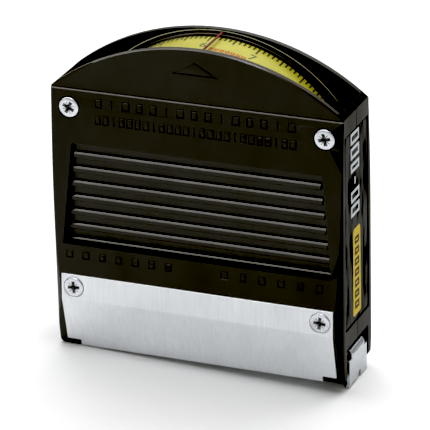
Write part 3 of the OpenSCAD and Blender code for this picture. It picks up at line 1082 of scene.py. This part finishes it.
def add_strip(bm, a, half, y0, y1, surface, steps):
    """Thin closed mark of constant width that follows a curved surface across the tape."""
    rows = []
    for i in range(steps + 1):
        y = y0 + (y1 - y0) * i / steps
        section = ((a - half, -INK / 2), (a + half, -INK / 2), (a + half, INK), (a - half, INK))
        rows.append([bm.verts.new(surface(along, y, lift) * MM) for along, lift in section])
    bm.faces.new(rows[0])
    bm.faces.new(list(reversed(rows[-1])))
    for r, q in zip(rows, rows[1:]):
        for i in range(4):
            j = (i + 1) % 4
            bm.faces.new((r[i], q[i], q[j], r[j]))


def digits(text, size):
    """Mesh of a flat number, centred, in millimetres."""
    curve = bpy.data.curves.new("digits", "FONT")
    curve.body = text
    curve.size = size
    curve.align_x = "CENTER"
    curve.align_y = "CENTER"
    curve.extrude = 0.5 * INK
    curve.resolution_u = 3
    obj = add_object("digits", curve)
    mesh = evaluated_mesh(obj)
    bpy.data.objects.remove(obj)
    return mesh


def add_digits(bm, text, size, a, y, surface):
    """Number laid on a curved surface, centred on a point."""
    mesh = digits(text, size)
    start = len(bm.verts)
    bm.from_mesh(mesh)
    bpy.data.meshes.remove(mesh)
    bm.verts.ensure_lookup_table()
    for vert in bm.verts[start:]:
        u, v, w = vert.co
        vert.co = surface(a + u * DIGIT_NARROWING, y + v, INK * 0.5 + w) * MM


def build_window_marks():
    """Millimetre marks along the rear edge of the outermost turn, centimetre numbers, red blocks."""
    marks = bmesh.new()
    numbers = bmesh.new()
    far = TAPE_HALF - MARK_EDGE
    for reading in WINDOW_READINGS:
        s = reading - READING_AT_TOP
        reach = mark_reach(reading, WINDOW_REACHES)
        if reading % 10 == 0:
            text = str(reading // 10)
            add_digits(numbers, text, WINDOW_DIGIT_SIZE, s, WINDOW_DIGIT_Y, on_turn)
        add_strip(marks, s, WINDOW_MARK_HALF, far - reach, far, on_turn, steps=1)
    place(mesh_object("window_marks", marks), "reel", [MATERIALS["ink"]])
    place(mesh_object("window_numbers", numbers), "reel", [MATERIALS["digit"]])
    blocks = bmesh.new()
    for i in range(RED_COUNT):
        s = RED_START + RED_PITCH * i
        add_frame(blocks, s, RED_Y, *RED_SIZE, RED_STROKE, on_turn, -INK / 2, INK)
    place(mesh_object("window_red_blocks", blocks), "reel", [MATERIALS["red"]])


def build_blade_marks():
    """Millimetre marks along both edges of the straight tape, measured from the hook's face."""
    marks = bmesh.new()
    numbers = bmesh.new()
    far = TAPE_HALF - MARK_EDGE
    for distance in BLADE_DISTANCES:
        x = HOOK_FACE_X - distance
        reach = mark_reach(distance, BLADE_REACHES)
        if distance % 10 == 0:
            text = str(distance // 10)
            add_digits(numbers, text, BLADE_DIGIT_SIZE, x + BLADE_DIGIT_SHIFT, 0.0, on_blade)
        if x < TAB_X or reach < FREE_BY_TAB:
            for side in (-1, 1):
                near_y, far_y = side * (far - reach), side * far
                add_strip(marks, x, BLADE_MARK_HALF, near_y, far_y, on_blade, steps=3)
    place(mesh_object("blade_marks", marks), "blade", [MATERIALS["ink"]])
    place(mesh_object("blade_numbers", numbers), "blade", [MATERIALS["ink"]])


# --------------------------------------------------------------- side label

LABEL_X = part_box("side_label")[1].x / MM

# How far the prints on the label start and end above its face
PRINT = (-0.01, 0.03)
OVERPRINT = (0.02, 0.05)

# Yellow block with clipped corners, as (y, z)
YELLOW_OUTLINE = (
    (-2.1, 12.2), (-1.5, 11.8), (1.9, 11.8), (2.3, 12.2),
    (2.1, 29.4), (1.6, 30.0), (-1.4, 30.0), (-1.9, 29.4),
)

# Dark hollow blocks on it
DARK_COUNT = 7
DARK_Y = 0.1
DARK_START_Z = 13.9
DARK_PITCH = 2.25
DARK_SIZE = (2.3, 1.5)
DARK_STROKE = 0.5

# Pale hollow blocks above it, by height; a height of 0 stands for a dash
PALE_HEIGHTS = (2.3, 2.3, 0, 1.9, 2.3, 2.3)
PALE_Y = -0.6
PALE_START_Z = 34.0
PALE_PITCH = 2.95
PALE_WIDTH = 4.6
PALE_STROKE = 0.62
DASH_Y = -0.65
DASH_SIZE = (0.6, 1.4)


def on_label(y, z, lift):
    """Point just proud of the label's face."""
    return Vector((LABEL_X + lift, y, z))


def build_label_marks():
    """Generic print on the label: a yellow block with dark blocks on it, and pale blocks above."""
    yellow = bmesh.new()
    add_prism(yellow, YELLOW_OUTLINE, on_label, *PRINT)
    dark = bmesh.new()
    for i in range(DARK_COUNT):
        z = DARK_START_Z + DARK_PITCH * i
        add_frame(dark, DARK_Y, z, *DARK_SIZE, DARK_STROKE, on_label, *OVERPRINT)
    pale = bmesh.new()
    for i, height in enumerate(PALE_HEIGHTS):
        z = PALE_START_Z + PALE_PITCH * i
        if height:
            add_frame(pale, PALE_Y, z, PALE_WIDTH, height, PALE_STROKE, on_label, *PRINT)
        else:
            add_bar(pale, DASH_Y, z, *DASH_SIZE, on_label, *PRINT)
    place(solid_object("label_block", yellow), "case", [MATERIALS["label_yellow"]])
    place(solid_object("label_dark_marks", dark), "case", [MATERIALS["label_dark"]])
    place(solid_object("label_pale_marks", pale), "case", [MATERIALS["label_white"]])


# ------------------------------------------------------- camera, floor, light

# Camera, from the photograph: angles in radians, lengths in millimetres
AZIMUTH = math.radians(22.23)
ELEVATION = math.radians(23.43)
ROLL = math.radians(-1.42)
DISTANCE = 655.3
AIM = Vector((0.0, 0.0, 36.0))
SHIFT_RIGHT = 0.82
SHIFT_UP = -7.06
LENS = 285.3
SENSOR_WIDTH = 36.0

# Nearest and farthest thing that the camera shows, in metres
CLIP_START = 0.01
CLIP_END = 20.0

# The case stands on its left foot and on the hook
FOOT_X = -28.8
HOOK_FOOT_X = 29.4
FLOOR_HALF = 1500.0
FLOOR_GAP = 0.03

# Centre that the lights stand around and face, in metres, their distance, and the sky's strength
LIGHT_AIM = Vector((0.0, 0.0, 0.03))
LIGHT_DISTANCE = 1.0
SKY_STRENGTH = 0.30

BLACK_LEVEL = (0.035, 0.036, 0.040)


def build_camera():
    """Camera at the photograph's viewing angle."""
    back = Vector((
        math.sin(AZIMUTH) * math.cos(ELEVATION),
        -math.cos(AZIMUTH) * math.cos(ELEVATION),
        math.sin(ELEVATION),
    ))
    level = Vector((math.cos(AZIMUTH), math.sin(AZIMUTH), 0.0))
    upright = back.cross(level)
    right = level * math.cos(ROLL) + upright * math.sin(ROLL)
    up = upright * math.cos(ROLL) - level * math.sin(ROLL)
    center = AIM + back * DISTANCE + right * SHIFT_RIGHT + up * SHIFT_UP
    data = bpy.data.cameras.new("camera")
    data.lens = LENS
    data.sensor_width = SENSOR_WIDTH
    data.clip_start = CLIP_START
    data.clip_end = CLIP_END
    camera = add_object("camera", data)
    axes = Matrix((right, up, back)).transposed()
    camera.matrix_world = Matrix.Translation(center * MM) @ axes.to_4x4()
    SCENE.camera = camera


def build_view():
    """Plain studio picture with deep blacks."""
    view = SCENE.view_settings
    view.view_transform = "Standard"
    view.look = "None"
    view.exposure = 0.0
    view.gamma = 1.0
    view.use_curve_mapping = True
    view.curve_mapping.black_level = BLACK_LEVEL


def build_floor():
    """Pale floor. The case leans on the hook, so the floor touches its left foot and the hook."""
    hook_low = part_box("end_hook")[0]
    drop = -hook_low.z / MM
    lean = math.atan(drop / (HOOK_FOOT_X - FOOT_X))
    bm = bmesh.new()
    bm.faces.new(rectangle(bm, 0, 0, FLOOR_HALF, FLOOR_HALF, lambda u, v, d: Vector((u, v, d)), 0))
    floor = mesh_object("floor", bm)
    foot = Vector((FOOT_X, 0, -FLOOR_GAP)) * MM
    floor.matrix_world = Matrix.Translation(foot) @ Matrix.Rotation(lean, 4, "Y")
    paper = matte("floor_paper", (0.92, 0.92, 0.92), (0.90, 0.90, 0.90), 0.9, 60.0, 0.1)
    floor.data.materials.append(paper)


def area_light(name, direction, along, length, width, radiance):
    """Soft rectangular light facing the object, its long side along a given direction.

    Radiance is what a perfect mirror of the light would show.
    """
    outward = Vector(direction).normalized()
    side = Vector(along)
    side = (side - outward * side.dot(outward)).normalized()
    data = bpy.data.lights.new(name, "AREA")
    data.shape = "RECTANGLE"
    data.size = length
    data.size_y = width
    data.energy = radiance * math.pi * length * width
    light = add_object(name, data)
    axes = Matrix((side, outward.cross(side), outward)).transposed()
    center = LIGHT_AIM + outward * LIGHT_DISTANCE
    light.matrix_world = Matrix.Translation(center) @ axes.to_4x4()
    return light


def build_lights():
    """Dim studio with a big soft box overhead, and two lights that give highlights only.

    The strip at the left lights the rib edges, and the small lamp lights the dome's rim.
    """
    world = bpy.data.worlds.new("studio")
    world.use_nodes = True
    background = world.node_tree.nodes["Background"]
    background.inputs["Color"].default_value = (1.0, 1.0, 1.0, 1.0)
    background.inputs["Strength"].default_value = SKY_STRENGTH
    SCENE.world = world
    area_light(
        "top_box", direction=(-0.05, 0.35, 0.94), along=(1, 0, 0),
        length=1.2, width=1.4, radiance=3.7)
    left_strip = area_light(
        "left_strip", direction=(-0.60, -0.29, 0.73), along=(-0.51, 0.227, -0.364),
        length=0.85, width=0.24, radiance=7.0)
    rim_spot = area_light(
        "rim_spot", direction=(-0.05, -0.47, 0.88), along=(1, 0, 0),
        length=0.20, width=0.12, radiance=40.0)
    for light in (left_strip, rim_spot):
        light.visible_diffuse = False


build_camera()
build_view()
build_floor()
build_lights()
paint_cad_nodes()
build_shells()
build_grip("front_grip", "front_grip_ribbed", -1)
build_grip("rear_grip", "rear_grip_ribbed", 1)
build_window()
build_shoe_and_hook()
build_screws()
build_window_marks()
build_blade_marks()
build_label_marks()
